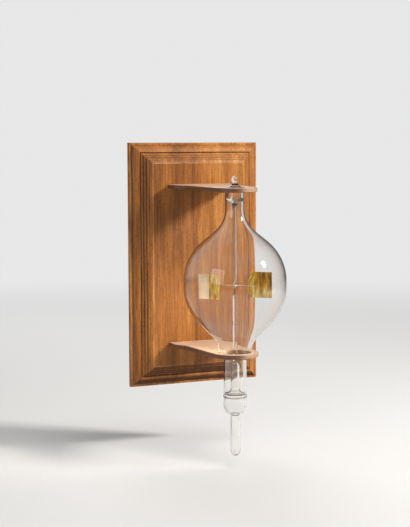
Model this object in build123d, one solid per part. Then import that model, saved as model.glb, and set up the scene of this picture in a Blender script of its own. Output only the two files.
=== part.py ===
from build123d import *
from math import acos, atan2, ceil, cos, pi, radians, sin, sqrt
import os

# A light mill in a blown glass bulb, held between two wooden brackets on a moulded wall board.
# Millimetres. X runs to the right, the wall is the plane Y = 0, the front looks along -Y, Z is up.
# The origin is the centre of the board's back face.

# Board: one piece of wood with a moulding run round all four edges
board_width = 143.0
board_height = 250.0
edge_thickness = 5.3        # square edge next to the wall
fillet_width = 2.6          # narrow flat outside the large round
fillet_rise = 0.3
ovolo_width = 7.0
ovolo_rise = 4.0
quirk_width = 0.8           # small sunk groove inside the large round
quirk_depth = 0.7
reed_count = 3              # stepped quarter rounds that climb to the field
reed_pitch = 2.4
reed_rise = 2.25
reed_bulge = 0.65
bevel_width = 3.3           # last slope up to the raised field
bevel_rise = 1.35

# Brackets: two thin tongues let into the board
bracket_thickness = 4.3
root_half_width = 33.5
root_length = 13.0          # straight sides, from the field outwards
ogee_length = 17.0          # stretch in which the sides swing in to the waist
waist_half_width = 27.0
nose_radius = 23.0
edge_round = 0.7
housing_depth = 5.0         # how far a bracket is let into the board
axis_distance = 103.1       # wall to the axis of the glass
lower_bracket_top = -79.6
lower_hole_radius = 12.7
head_clearance = 0.6        # round the glass head in the upper hole

# Screws that hold the brackets, driven from the back of the board
screw_length = 25.4
screw_radius = 1.1
screw_head_radius = 2.2
screw_point = 2.2
screw_slot_width = 0.6
screw_slot_depth = 0.6
screw_recess = 0.4          # head sunk below the face it sits in
screw_spread = 18.0         # each side of the middle
shank_clearance = 0.15
thread_clearance = 0.05

# Hanging plate, let into the back
plate_width = 44.0
plate_height = 22.0
plate_thickness = 1.5
plate_corner_radius = 4.0
plate_recess = 0.3
plate_fit = 0.2             # gap round the plate in its recess
plate_centre_height = 95.0
keyhole_radius = 4.5
keyhole_drop = 3.5          # round hole below the middle of the plate
keyslot_radius = 2.2
keyslot_rise = 4.5          # end of the slot above the middle of the plate
pocket_depth = 5.0          # room behind the plate for the head of the wall screw
pocket_margin = 0.7
plate_screw_spread = 17.0
plate_screw_length = 11.0
plate_screw_recess = 0.1

# Glass envelope, blown from tube
bulb_radius = 50.5
glass_wall = 1.1
upper_cone_angle = 49.0     # degrees from the axis
upper_sweep_radius = 24.0   # hollow sweep from the upper cone into the neck
upper_neck_radius = 7.6
upper_neck_length = 14.35   # straight part of the upper neck
lower_cone_angle = 37.0
lower_sweep_radius = 24.0
lower_neck_radius = 11.2
lower_neck_length = 34.0    # from the lower sweep to the ring seal
seat_gap = 0.3              # glass to the rim of the lower hole
head_swell = 7.0            # length in which the neck widens into the head
head_radius = 8.4
head_cone = 4.4             # from the widest place up to the drawn waist
head_crown = 3.4            # top of the hollow above the widest place
tip_waist_radius = 2.1
tip_ball_radius = 3.1

# Glass below the lower bracket
ring_height = 3.4
ring_bulge = 0.5
base_radius = 11.6
base_lip_radius = 11.2
base_straight = 7.0         # height of the base bulb above its round bottom
base_wall = 1.3
tail_radius = 4.9
tail_wall = 1.2
tail_length = 40.8
weld_gap = 0.05             # between curved faces of glass that are melted together

# Glass inside the envelope
support_tube_radius = 4.4
support_tube_wall = 0.9
support_tube_length = 32.5
flare_height = 6.0
rod_radius = 2.2
collar_radius = 2.8
collar_height = 3.0
collar_drop = 37.5          # below the arms
guide_tube_radius = 2.3
guide_tube_wall = 0.8
guide_seal_drop = 12.0      # below the widest place of the head
guide_seal_thickness = 2.2

# Pivot
arm_drop = 4.0              # arms below the middle of the bulb
needle_radius = 0.5
needle_point_length = 4.0
needle_rise = 1.5           # point of the needle above the arms
needle_socket = 4.0         # how deep the needle sits in its bead
bead_radius = 1.9
bead_height = 5.0
bead_drop = 7.9             # top of the bead below the arms
cup_radius = 1.6
cup_bore_radius = 1.0
cup_rim_radius = 2.0
cup_rim_height = 0.7
cup_skirt = 2.2             # cup below the arms
cup_roof = 0.9              # glass above the point of the needle
pivot_gap = 0.05            # point of the needle to the roof of the bore
nipple_radius = 0.6
nipple_length = 3.2
mouth_gap = 0.8             # how far the cup can rise before the guide tube stops it
band_thickness = 0.5
band_height = 1.2
band_clearance = 0.05

# Rotor arms and vanes
rotor_angle = -45.0         # direction of the right arm at rest, degrees from +X
wire_radius = 0.25
wire_gap = 0.06
arm_reach = 22.5
vane_inner = 14.0
vane_width = 25.0
vane_height = 25.6
vane_thickness = 0.4
foil_thickness = 0.12
foil_gap = 0.05
foil_crease = 0.3           # height of the soft creases
foil_crease_pitch = 6.0
foil_return = 10.5          # strip folded round to the other face
corner_cut_width = 5.5      # folded upper inner corner of the right vane
corner_cut_height = 9.0

# Places worked out from the sizes above
moulding_width = fillet_width + ovolo_width + quirk_width + reed_count * reed_pitch + bevel_width
ovolo_top = edge_thickness + fillet_rise + ovolo_rise
field_height = ovolo_top - quirk_depth + reed_count * reed_rise + bevel_rise
housing_floor = field_height - housing_depth
upper_angle = radians(upper_cone_angle)
lower_angle = radians(lower_cone_angle)


def neck_distance(angle, sweep_radius, neck_radius):
    # Height between the middle of the bulb and the end of the sweep
    reach = bulb_radius + sweep_radius
    cone = (reach * cos(angle) - neck_radius - sweep_radius) / sin(angle)
    return reach * sin(angle) + cone * cos(angle)


seat_radius = lower_hole_radius - seat_gap
seat_rise = sqrt(lower_sweep_radius**2 - (lower_sweep_radius + lower_neck_radius - seat_radius)**2)
lower_neck_top = lower_bracket_top - seat_rise
bulb_centre = lower_neck_top + neck_distance(lower_angle, lower_sweep_radius, lower_neck_radius)
upper_neck_bottom = bulb_centre + neck_distance(upper_angle, upper_sweep_radius, upper_neck_radius)
swell_bottom = upper_neck_bottom + upper_neck_length
head_height = swell_bottom + head_swell
upper_bracket_top = head_height
upper_hole_radius = head_radius + head_clearance
ring_top = lower_neck_top - lower_neck_length
base_top = ring_top - ring_height
base_shoulder = base_top - base_straight
tail_top = base_shoulder - sqrt(base_radius**2 - tail_radius**2)
guide_seal_top = head_height - guide_seal_drop
arm_height = bulb_centre - arm_drop
needle_tip = arm_height + needle_rise
cup_roof_height = needle_tip + pivot_gap
cup_top = cup_roof_height + cup_roof
cup_bottom = arm_height - cup_skirt
guide_mouth = cup_top + mouth_gap
bead_top = arm_height - bead_drop
support_tube_top = ring_top + support_tube_length
band_radius = cup_radius + band_clearance + band_thickness
glass_axis = Pos(0, -axis_distance, 0)


def rz(radius, height):
    # A point of a half section that is turned about the Z axis
    return Vector(radius, 0, height)


def arc_about(centre, radius, start, end):
    angles = (start, (start + end) / 2, end)
    return ThreePointArc(*[centre + rz(radius * cos(a), radius * sin(a)) for a in angles])


def ends(run):
    # The two loose ends of a run of curves
    points = [curve @ end for curve in run for end in (0, 1)]
    return [p for p in points if sum((p - q).length < weld_gap / 10 for q in points) == 1]


def face_between(one, other):
    # Two runs of curves side by side, joined at both ends by straight lines
    edges = [curve.edge() for curve in one + other]
    for start in ends(one):
        finish = min(ends(other), key=lambda point: (point - start).length)
        if (finish - start).length > weld_gap / 10:
            edges.append(Line(start, finish).edge())
    return make_face(Wire(edges))


def turned(outer, inner):
    return revolve(face_between(outer, inner), Axis.Z)


def turned_corners(*corners):
    return revolve(make_face(Polyline(*[rz(*c) for c in corners], close=True).wire()), Axis.Z)


# Board


def moulding_section():
    # X is the distance in from the edge, Y the height above the wall
    curves = [Line((0, 0), (0, edge_thickness))]
    curves.append(Line(curves[-1] @ 1, (fillet_width, edge_thickness + fillet_rise)))
    crest = Vector(fillet_width + ovolo_width, ovolo_top)
    curves.append(TangentArc(curves[-1] @ 1, crest, tangent=(-1, 0), tangent_from_first=False))
    groove = crest + Vector(quirk_width, -quirk_depth)
    curves.append(Line(crest, groove))
    for _ in range(reed_count):
        step = groove + Vector(reed_pitch, reed_rise)
        curves.append(SagittaArc(groove, step, reed_bulge))
        groove = step
    curves.append(Line(groove, (moulding_width, field_height)))
    return face_between(curves, [Line((0, 0), (moulding_width, 0))])


def mitred_side(length, offset):
    # The side below the middle, cut at 45 degrees at both ends
    start = Plane(origin=(-length / 2, 0, -offset), x_dir=(0, 0, 1), z_dir=(1, 0, 0))
    bar = extrude(start * moulding_section(), amount=length)
    outer, inner, rise = length / 2, length / 2 - moulding_width, moulding_width - offset
    corners = [(-outer, 0, -offset), (outer, 0, -offset), (inner, 0, rise), (-inner, 0, rise)]
    zone = Polyline(*corners, close=True)
    return bar & extrude(make_face(zone.wire()), amount=2 * field_height, dir=(0, -1, 0))


def into_board(shape):
    # A shape modelled downwards from Z = 0, turned so that it runs from the wall into the board
    return Rot(-90, 0, 0) * shape


def screw_room(length, recess, fit):
    # Countersunk hole for a screw whose head lies below the face by the recess
    neck = screw_head_radius - screw_radius
    return into_board(turned_corners(
        (0, 0), (screw_head_radius + fit, 0), (screw_head_radius + fit, -recess),
        (screw_radius + fit, -recess - neck), (screw_radius + fit, -length), (0, -length)))


def pilot_room(length):
    radius = screw_radius + thread_clearance
    return into_board(turned_corners((0, 0), (radius, 0), (radius, -length), (0, -length)))


def make_screw(length):
    neck = screw_head_radius - screw_radius
    body = turned_corners((0, 0), (screw_head_radius, 0), (screw_radius, -neck),
                          (screw_radius, screw_point - length), (0, -length))
    slot = Pos(0, 0, -screw_slot_depth / 2) * Box(3 * screw_head_radius, screw_slot_width, screw_slot_depth)
    return into_board(body - slot)


def bracket_screw_places(bracket_top):
    middle = bracket_top - bracket_thickness / 2
    return [Pos(side * screw_spread, 0, middle) for side in (-1, 1)]


def plate_screw_places():
    return [Pos(side * plate_screw_spread, -plate_recess, plate_centre_height) for side in (-1, 1)]


def plate_outline(margin):
    width, height = plate_width + 2 * margin, plate_height + 2 * margin
    return RectangleRounded(width, height, plate_corner_radius + margin)


def keyhole_outline(head_radius, neck_radius):
    # Round hole below, slot rising from it
    slot = Rectangle(2 * neck_radius, keyslot_rise + keyhole_drop)
    outline = Pos(0, -keyhole_drop) * Circle(head_radius) + Pos(0, (keyslot_rise - keyhole_drop) / 2) * slot
    return outline + Pos(0, keyslot_rise) * Circle(neck_radius)


def into_back(sketch, start, thickness):
    # A flat shape at the height of the hanging plate, from one depth below the back face to another
    return extrude(Pos(0, -start, plate_centre_height) * (Plane.XZ * sketch), amount=thickness)


def make_board():
    core = Box(board_width - 2 * moulding_width, field_height, board_height - 2 * moulding_width)
    board = Pos(0, -field_height / 2, 0) * core
    for turn in range(4):
        length, across = (board_width, board_height) if turn % 2 == 0 else (board_height, board_width)
        board += Rot(0, 90 * turn, 0) * mitred_side(length, across / 2)
    for top in (lower_bracket_top, upper_bracket_top):
        housing = Box(2 * root_half_width, housing_depth, bracket_thickness)
        board -= Pos(0, -housing_floor - housing_depth / 2, top - bracket_thickness / 2) * housing
        for place in bracket_screw_places(top):
            board -= place * screw_room(field_height, screw_recess, shank_clearance)
    plate_floor = plate_recess + plate_thickness
    board -= into_back(plate_outline(plate_fit), 0, plate_floor)
    pocket_radius = keyhole_radius + pocket_margin
    board -= into_back(keyhole_outline(pocket_radius, pocket_radius), 0, plate_floor + pocket_depth)
    for place in plate_screw_places():
        board -= place * pilot_room(plate_screw_recess + plate_screw_length)
    return board


# Brackets


def bracket_outline():
    field = -field_height
    shoulder = Vector(root_half_width, field - root_length)
    waist = Vector(waist_half_width, shoulder.Y - ogee_length)
    centre = Vector(0, -axis_distance)
    reach = waist - centre
    bearing = atan2(reach.Y, reach.X) - acos(nose_radius / reach.length)
    touch = centre + Vector(nose_radius * cos(bearing), nose_radius * sin(bearing))
    taper = (touch - waist).normalized()
    right = [Line((root_half_width, field), shoulder), Spline(shoulder, waist, tangents=[(0, -1), taper]),
             Line(waist, touch)]
    edges = [curve.edge() for curve in right]
    edges += [edge.mirror(Plane.YZ) for edge in edges]
    edges.append(ThreePointArc(touch, centre - Vector(0, nose_radius), (-touch.X, touch.Y)).edge())
    edges.append(Line((root_half_width, field), (-root_half_width, field)).edge())
    return make_face(Wire(edges))


def make_bracket(top, hole_radius):
    tongue = extrude(bracket_outline(), amount=bracket_thickness)
    flat_rims = tongue.edges().group_by(Axis.Z)[0] + tongue.edges().group_by(Axis.Z)[-1]
    tongue = fillet([edge for edge in flat_rims if edge.center().Y < -field_height - edge_round], edge_round)
    tenon = Box(2 * root_half_width, housing_depth, bracket_thickness)
    bracket = tongue + Pos(0, housing_depth / 2 - field_height, bracket_thickness / 2) * tenon
    bracket -= glass_axis * Cylinder(hole_radius, 4 * bracket_thickness)
    bracket = Pos(0, 0, top - bracket_thickness) * bracket
    for place in bracket_screw_places(top):
        bracket -= place * pilot_room(screw_recess + screw_length + thread_clearance)
    return bracket


def make_bracket_screws(top):
    screw = Pos(0, -screw_recess, 0) * make_screw(screw_length)
    return [place * screw for place in bracket_screw_places(top)]


# Hanging plate


def make_hanging_plate():
    outline = plate_outline(0) - keyhole_outline(keyhole_radius, keyslot_radius)
    plate = into_back(outline, plate_recess, plate_thickness)
    for place in plate_screw_places():
        plate -= place * screw_room(plate_thickness + 1, plate_screw_recess, thread_clearance)
    return plate


def make_plate_screws():
    screw = Pos(0, -plate_screw_recess, 0) * make_screw(plate_screw_length)
    return [place * screw for place in plate_screw_places()]


# Glass envelope


def envelope_side(inset):
    # One tangent run from the ring seal up to the start of the head
    lower_centre = rz(lower_neck_radius + lower_sweep_radius, lower_neck_top)
    upper_centre = rz(upper_neck_radius + upper_sweep_radius, upper_neck_bottom)
    middle = rz(0, bulb_centre)
    runs = [arc_about(lower_centre, lower_sweep_radius + inset, pi, pi - lower_angle),
            arc_about(middle, bulb_radius - inset, -lower_angle, upper_angle),
            arc_about(upper_centre, upper_sweep_radius + inset, pi + upper_angle, pi)]
    curves = [Line(rz(lower_neck_radius - inset, ring_top), runs[0] @ 0)]
    for run, following in zip(runs, runs[1:]):
        curves += [run, Line(run @ 1, following @ 0)]
    return curves + [runs[-1], Line(runs[-1] @ 1, rz(upper_neck_radius - inset, swell_bottom))]


def make_lower_neck():
    return turned(envelope_side(0)[:1], envelope_side(glass_wall)[:1])


def make_bulb():
    return turned(envelope_side(0)[1:-1], envelope_side(glass_wall)[1:-1])


def make_upper_neck():
    # With the head above it, drawn off to a small ball
    up = (0, 0, 1)
    outer = envelope_side(0)[-1:]
    widest = rz(head_radius, head_height)
    waist = rz(tip_waist_radius, head_height + head_cone)
    ball = waist.Z + sqrt(tip_ball_radius**2 - tip_waist_radius**2)
    outer += [Spline(outer[-1] @ 1, widest, tangents=[up, up]), Spline(widest, waist, tangents=[up, up]),
              ThreePointArc(waist, rz(tip_ball_radius, ball), rz(0, ball + tip_ball_radius))]
    inner = envelope_side(glass_wall)[-1:]
    widest = rz(head_radius - glass_wall, head_height)
    inner += [Spline(inner[-1] @ 1, widest, tangents=[up, up]),
              Spline(widest, rz(0, head_height + head_crown), tangents=[up, (-1, 0, 0)])]
    return turned(outer, inner)


def make_guide_seal():
    # Web of glass across the upper neck that carries the guide tube
    reach = upper_neck_radius - glass_wall - weld_gap
    bottom = guide_seal_top - guide_seal_thickness
    return turned_corners((0, bottom), (reach, bottom), (reach, guide_seal_top), (0, guide_seal_top))


def make_guide_tube():
    top = guide_seal_top - guide_seal_thickness
    outer, bore = guide_tube_radius, guide_tube_radius - guide_tube_wall
    return turned_corners((bore, guide_mouth), (outer, guide_mouth), (outer, top), (bore, top))


# Glass below the lower bracket


def make_ring_seal():
    # Thick ring where envelope, support tube and base bulb are melted together
    middle = (ring_top + base_top) / 2
    outer = ThreePointArc(rz(base_lip_radius, base_top), rz(lower_neck_radius + ring_bulge, middle),
                          rz(lower_neck_radius, ring_top))
    inner_radius = lower_neck_radius - glass_wall
    inner = ThreePointArc(rz(base_lip_radius - base_wall, base_top), rz(inner_radius - ring_bulge, middle),
                          rz(inner_radius - weld_gap, ring_top))
    return turned([outer], [inner])


def make_base_bulb():
    def side(inset, end_radius):
        radius = base_radius - inset
        shoulder, lip = rz(radius, base_shoulder), rz(base_lip_radius - inset, base_top)
        round_end = arc_about(rz(0, base_shoulder), radius, 0, -acos(end_radius / radius))
        return [TangentArc(shoulder, lip, tangent=(0, 0, 1)), round_end]
    bore = tail_radius - tail_wall
    outer, inner = side(0, tail_radius), side(base_wall, bore)
    inner.append(Line(inner[-1] @ 1, rz(bore, tail_top)))
    return turned(outer, inner)


def make_tail_tube():
    # Closed at the bottom, where it was drawn off the pump
    def side(radius, end):
        return [arc_about(rz(0, end + radius), radius, -pi / 2, 0),
                Line(rz(radius, end + radius), rz(radius, tail_top))]
    return turned(side(tail_radius, tail_top - tail_length),
                  side(tail_radius - tail_wall, tail_top - tail_length + 2 * tail_wall))


# Glass that carries the rotor


def make_support_tube():
    # Stands up inside the lower neck, domed above and flared to the ring seal below
    def side(radius, flare_radius, flare_end):
        dome = support_tube_top - support_tube_radius + radius
        start = ring_top + flare_height
        return [Spline(rz(flare_radius, flare_end), rz(radius, start), tangents=[(-1, 0, 0.2), (0, 0, 1)]),
                Line(rz(radius, start), rz(radius, dome - radius)),
                arc_about(rz(0, dome - radius), radius, 0, pi / 2)]
    rim = lower_neck_radius - glass_wall - weld_gap
    return turned(side(support_tube_radius, rim, ring_top + support_tube_wall),
                  side(support_tube_radius - support_tube_wall, rim, ring_top))


def make_support_rod():
    return turned_corners((0, support_tube_top), (rod_radius, support_tube_top),
                          (rod_radius, bead_top - bead_height), (0, bead_top - bead_height))


def make_rod_collar():
    middle = arm_height - collar_drop
    bore = rod_radius + weld_gap
    half = collar_height / 2
    lip = bore + weld_gap
    outer = ThreePointArc(rz(lip, middle - half), rz(collar_radius, middle), rz(lip, middle + half))
    return turned([outer], [Line(rz(bore, middle - half), rz(bore, middle + half))])


def make_needle_bead():
    bottom = bead_top - bead_height
    bore = needle_radius + thread_clearance
    socket = bead_top - needle_socket
    middle = (bottom + bead_top) / 2
    outer = ThreePointArc(rz(rod_radius, bottom), rz(bead_radius, middle), rz(bore + weld_gap, bead_top))
    inner = [Line(rz(0, bottom), rz(0, socket)), Line(rz(0, socket), rz(bore, socket)),
             Line(rz(bore, socket), rz(bore, bead_top))]
    return turned([outer], inner)


def make_needle():
    bottom, shoulder = bead_top - needle_socket, needle_tip - needle_point_length
    return turned_corners((0, bottom), (needle_radius, bottom), (needle_radius, shoulder), (0, needle_tip))


# Rotor, modelled with its right arm along +X and turned to its rest angle at the end


def make_pivot_cup():
    rim = ThreePointArc(rz(cup_bore_radius, cup_bottom), rz(cup_rim_radius, cup_bottom + cup_rim_height / 2),
                        rz(cup_radius, cup_bottom + cup_rim_height))
    nipple = cup_top + nipple_length - nipple_radius
    outer = [rim, Line(rim @ 1, rz(cup_radius, cup_top - cup_radius / 2)),
             Spline(rz(cup_radius, cup_top - cup_radius / 2), rz(nipple_radius, cup_top + nipple_radius),
                    tangents=[(0, 0, 1), (0, 0, 1)]),
             Line(rz(nipple_radius, cup_top + nipple_radius), rz(nipple_radius, nipple)),
             arc_about(rz(0, nipple), nipple_radius, 0, pi / 2)]
    inner = [Line(rim @ 0, rz(cup_bore_radius, cup_roof_height - cup_bore_radius)),
             arc_about(rz(0, cup_roof_height - cup_bore_radius), cup_bore_radius, 0, pi / 2)]
    return turned(outer, inner)


def make_cup_band():
    bore = cup_radius + band_clearance
    low, high = arm_height - band_height / 2, arm_height + band_height / 2
    return turned_corners((bore, low), (band_radius, low), (band_radius, high), (bore, high))


def leg_offset():
    return vane_thickness / 2 + foil_gap + foil_crease + foil_thickness + wire_gap + wire_radius


def make_arm_wires():
    # One wire bent double at the band, a leg on each face of the vane
    offset = leg_offset()
    bend = band_radius + wire_gap + wire_radius + offset
    path = [Line((arm_reach, offset), (bend, offset)),
            ThreePointArc((bend, offset), (bend - offset, 0), (bend, -offset)),
            Line((bend, -offset), (arm_reach, -offset))]
    wire = Wire([curve.edge() for curve in path])
    round_section = Plane(origin=(arm_reach, offset, 0), z_dir=(-1, 0, 0)) * Circle(wire_radius)
    return Pos(0, 0, arm_height) * sweep(round_section, path=wire)


def make_vane_plate(corner_cut):
    plate = Box(vane_width, vane_thickness, vane_height, align=(Align.MIN, Align.CENTER, Align.CENTER))
    return Pos(0, 0, arm_height) * (Pos(vane_inner, 0, 0) * plate - corner_wedge(corner_cut))


def corner_wedge(corner_cut):
    # Takes off the upper inner corner
    if not corner_cut:
        return Part()
    x, z = vane_inner, vane_height / 2
    over = 2 * corner_cut_width
    low, high = z - corner_cut_height, z + corner_cut_height
    corners = [(x, low), (x + over, high), (x - over, high), (x - over, low)]
    wedge = Polyline(*[(a, 0, b) for a, b in corners], close=True)
    return extrude(make_face(wedge.wire()), amount=4 * leg_offset(), both=True)


def creased(start, end, height):
    # Wavy run of foil, its creases standing away from the plate
    steps = max(2, ceil(abs(end - start) / foil_crease_pitch * 2))
    side = 1 if height > 0 else -1
    points = []
    for i in range(steps + 1):
        lift = foil_crease if i % 2 else 0
        points.append((start + (end - start) * i / steps, height + side * lift))
    return Spline(*points)


def make_vane_foil(corner_cut):
    # Full sheet on one face, folded round the inner edge to a narrow strip on the other
    near = vane_thickness / 2 + foil_gap
    far = near + foil_thickness
    fold = vane_inner - foil_gap
    outer_end, strip_end = vane_inner + vane_width, vane_inner + foil_return

    def run(height, edge):
        front, back = creased(outer_end, fold, -height), creased(fold, strip_end, height)
        return [front, ThreePointArc(front @ 1, (fold - edge, 0), back @ 0), back]
    section = face_between(run(near, foil_gap), run(far, foil_gap + foil_thickness))
    sheet = extrude(section, amount=vane_height / 2, both=True)
    return Pos(0, 0, arm_height) * (sheet - corner_wedge(corner_cut))


# Assembly


def place_rotor(shape, turn=0):
    return glass_axis * Rot(0, 0, rotor_angle + turn) * shape


nodes = {
    "back_board": make_board(),
    "upper_bracket": make_bracket(upper_bracket_top, upper_hole_radius),
    "lower_bracket": make_bracket(lower_bracket_top, lower_hole_radius),
    "upper_bracket_screws": make_bracket_screws(upper_bracket_top),
    "lower_bracket_screws": make_bracket_screws(lower_bracket_top),
    "hanging_plate": make_hanging_plate(),
    "hanging_plate_screws": make_plate_screws(),
    "upper_neck": glass_axis * make_upper_neck(),
    "bulb": glass_axis * make_bulb(),
    "lower_neck": glass_axis * make_lower_neck(),
    "guide_seal": glass_axis * make_guide_seal(),
    "guide_tube": glass_axis * make_guide_tube(),
    "ring_seal": glass_axis * make_ring_seal(),
    "base_bulb": glass_axis * make_base_bulb(),
    "tail_tube": glass_axis * make_tail_tube(),
    "support_tube": glass_axis * make_support_tube(),
    "support_rod": glass_axis * make_support_rod(),
    "rod_collar": glass_axis * make_rod_collar(),
    "needle_bead": glass_axis * make_needle_bead(),
    "needle": glass_axis * make_needle(),
    "pivot_cup": place_rotor(make_pivot_cup()),
    "cup_band": place_rotor(make_cup_band()),
}
for name, turn, corner_cut in (("right", 0, True), ("left", 180, False)):
    nodes[name + "_arm_wire"] = place_rotor(make_arm_wires(), turn)
    nodes[name + "_vane_plate"] = place_rotor(make_vane_plate(corner_cut), turn)
    nodes[name + "_vane_foil"] = place_rotor(make_vane_foil(corner_cut), turn)

os.makedirs("parts", exist_ok=True)
for name, shape in nodes.items():
    pieces = shape if isinstance(shape, list) else [shape]
    solids = [solid for piece in pieces for solid in piece.solids()]
    export_step(solids[0] if len(solids) == 1 else Compound(children=solids), f"parts/{name}.step")
    print(name, len(solids), round(sum(solid.volume for solid in solids), 2))
print("arms at", round(arm_height, 3), "tail ends at", round(tail_top - tail_length, 3))
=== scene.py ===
import math
import bmesh
import bpy
from mathutils import Matrix, Vector
from mathutils.geometry import interpolate_bezier


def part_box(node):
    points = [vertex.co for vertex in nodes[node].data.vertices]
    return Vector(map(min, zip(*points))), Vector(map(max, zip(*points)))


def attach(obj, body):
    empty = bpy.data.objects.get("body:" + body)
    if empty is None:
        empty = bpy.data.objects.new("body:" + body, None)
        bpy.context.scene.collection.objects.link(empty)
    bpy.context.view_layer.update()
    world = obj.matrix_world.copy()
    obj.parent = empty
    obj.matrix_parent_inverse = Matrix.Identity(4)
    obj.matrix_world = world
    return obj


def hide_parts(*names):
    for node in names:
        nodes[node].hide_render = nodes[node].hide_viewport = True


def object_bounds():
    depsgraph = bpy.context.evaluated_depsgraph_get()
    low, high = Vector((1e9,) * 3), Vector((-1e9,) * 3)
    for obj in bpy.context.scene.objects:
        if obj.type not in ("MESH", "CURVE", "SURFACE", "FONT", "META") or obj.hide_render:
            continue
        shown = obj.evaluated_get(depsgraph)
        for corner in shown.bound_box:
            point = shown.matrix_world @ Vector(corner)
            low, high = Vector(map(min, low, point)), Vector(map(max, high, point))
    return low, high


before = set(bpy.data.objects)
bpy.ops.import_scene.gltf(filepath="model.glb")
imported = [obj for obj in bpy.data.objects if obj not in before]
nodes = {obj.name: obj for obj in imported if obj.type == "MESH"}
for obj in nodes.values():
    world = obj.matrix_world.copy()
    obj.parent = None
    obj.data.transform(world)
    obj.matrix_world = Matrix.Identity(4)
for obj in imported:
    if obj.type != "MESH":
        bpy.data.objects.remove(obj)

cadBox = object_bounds()
mm = 0.001
pi = math.pi
clearance = 0.05 * mm
weldDistance = 0.001 * mm
print("frame loaded,", len(nodes), "nodes")


def halfWidth(name):
    low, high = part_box(name)
    return (high.x - low.x) / 2


def heights(name):
    low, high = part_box(name)
    return low.z, high.z


def linked(name, data):
    piece = bpy.data.objects.new(name, data)
    bpy.context.scene.collection.objects.link(piece)
    return piece


def plainMesh(piece):
    # The mesh with its modifiers worked in
    seen = piece.evaluated_get(bpy.context.evaluated_depsgraph_get())
    return bpy.data.meshes.new_from_object(seen)


# Node trees written as sums
class Wire:
    # One output socket, used like a number
    def __init__(self, tree, socket):
        self.tree, self.socket = tree, socket

    def maths(self, operation, *values):
        return self.tree.node("ShaderNodeMath", {"operation": operation}, dict(enumerate(values)))

    def __add__(self, other):
        return self.maths("ADD", self, other)

    def __sub__(self, other):
        return self.maths("SUBTRACT", self, other)

    def __rsub__(self, other):
        return self.maths("SUBTRACT", other, self)

    def __mul__(self, other):
        return self.maths("MULTIPLY", self, other)

    def __truediv__(self, other):
        return self.maths("DIVIDE", self, other)

    def __rtruediv__(self, other):
        return self.maths("DIVIDE", other, self)

    def __pow__(self, other):
        return self.maths("POWER", self, other)

    def __neg__(self):
        return self.maths("MULTIPLY", self, -1.0)

    def __abs__(self):
        return self.maths("ABSOLUTE", self)

    __radd__, __rmul__ = __add__, __mul__

    def least(self, other):
        return self.maths("MINIMUM", self, other)

    def most(self, other):
        return self.maths("MAXIMUM", self, other)

    def ramp(self, low, high):
        # 0 at low, 1 at high, soft at both ends
        values = {"Value": self, "From Min": low, "From Max": high}
        return self.tree.node("ShaderNodeMapRange", {"interpolation_type": "SMOOTHSTEP"}, values)


class Tree:
    def __init__(self, tree):
        self.tree = tree
        tree.nodes.clear()

    def node(self, kind, settings=None, values=None, output=0):
        made = self.tree.nodes.new(kind)
        for name, setting in (settings or {}).items():
            if name == "stops":
                self.setStops(made.color_ramp, setting)
            else:
                setattr(made, name, setting)
        for name, value in (values or {}).items():
            if isinstance(value, Wire):
                self.tree.links.new(value.socket, made.inputs[name])
            else:
                made.inputs[name].default_value = value
        return Wire(self, made.outputs[output]) if made.outputs else None

    def setStops(self, ramp, stops):
        while len(ramp.elements) < len(stops):
            ramp.elements.new(0.5)
        for element, (place, colour) in zip(ramp.elements, stops):
            element.position, element.color = place, (*colour, 1.0)

    def parts(self, vector):
        made = self.node("ShaderNodeSeparateXYZ", {}, {0: vector}).socket.node
        return [Wire(self, socket) for socket in made.outputs]

    def joined(self, x, y, z):
        return self.node("ShaderNodeCombineXYZ", {}, {0: x, 1: y, 2: z})

    def vectors(self, operation, values):
        return self.node("ShaderNodeVectorMath", {"operation": operation}, values)

    def stretched(self, vector, amounts):
        return self.vectors("MULTIPLY", {0: vector, 1: amounts})

    def noise(self, vector, scale, detail=2.0, roughness=0.5):
        values = {"Vector": vector, "Scale": scale, "Detail": detail, "Roughness": roughness}
        return self.node("ShaderNodeTexNoise", {}, values)


class Finish(Tree):
    # A material
    spoken = {"colour": "Base Color", "rough": "Roughness", "metal": "Metallic", "coat": "Coat Weight",
              "coatRough": "Coat Roughness", "normal": "Normal", "clear": "Transmission Weight",
              "ior": "IOR", "shine": "Specular IOR Level"}

    def __init__(self, name):
        self.material = bpy.data.materials.new(name)
        self.material.use_nodes = True
        super().__init__(self.material.node_tree)
        self.place = self.node("ShaderNodeTexCoord", output="Object")
        self.x, self.y, self.z = self.parts(self.place)

    def facing(self):
        return self.parts(self.node("ShaderNodeNewGeometry", output="Normal"))

    def colours(self, share, stops):
        return self.node("ShaderNodeValToRGB", {"stops": stops}, {0: share})

    def mixed(self, share, one, other):
        a, b = (v if isinstance(v, Wire) else (*v, 1.0) for v in (one, other))
        return self.node("ShaderNodeMix", {"data_type": "RGBA"}, {0: share, 6: a, 7: b}, 2)

    def bump(self, height, distance, strength):
        return self.node("ShaderNodeBump", {}, {"Height": height, "Distance": distance, "Strength": strength})

    def principled(self, **values):
        named = {}
        for name, value in values.items():
            named[self.spoken[name]] = (*value, 1.0) if isinstance(value, tuple) else value
        return self.node("ShaderNodeBsdfPrincipled", {}, named)

    def blended(self, share, one, other):
        return self.node("ShaderNodeMixShader", {}, {0: share, 1: one, 2: other})

    def done(self, surface):
        self.node("ShaderNodeOutputMaterial", {}, {"Surface": surface})
        return self.material


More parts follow.
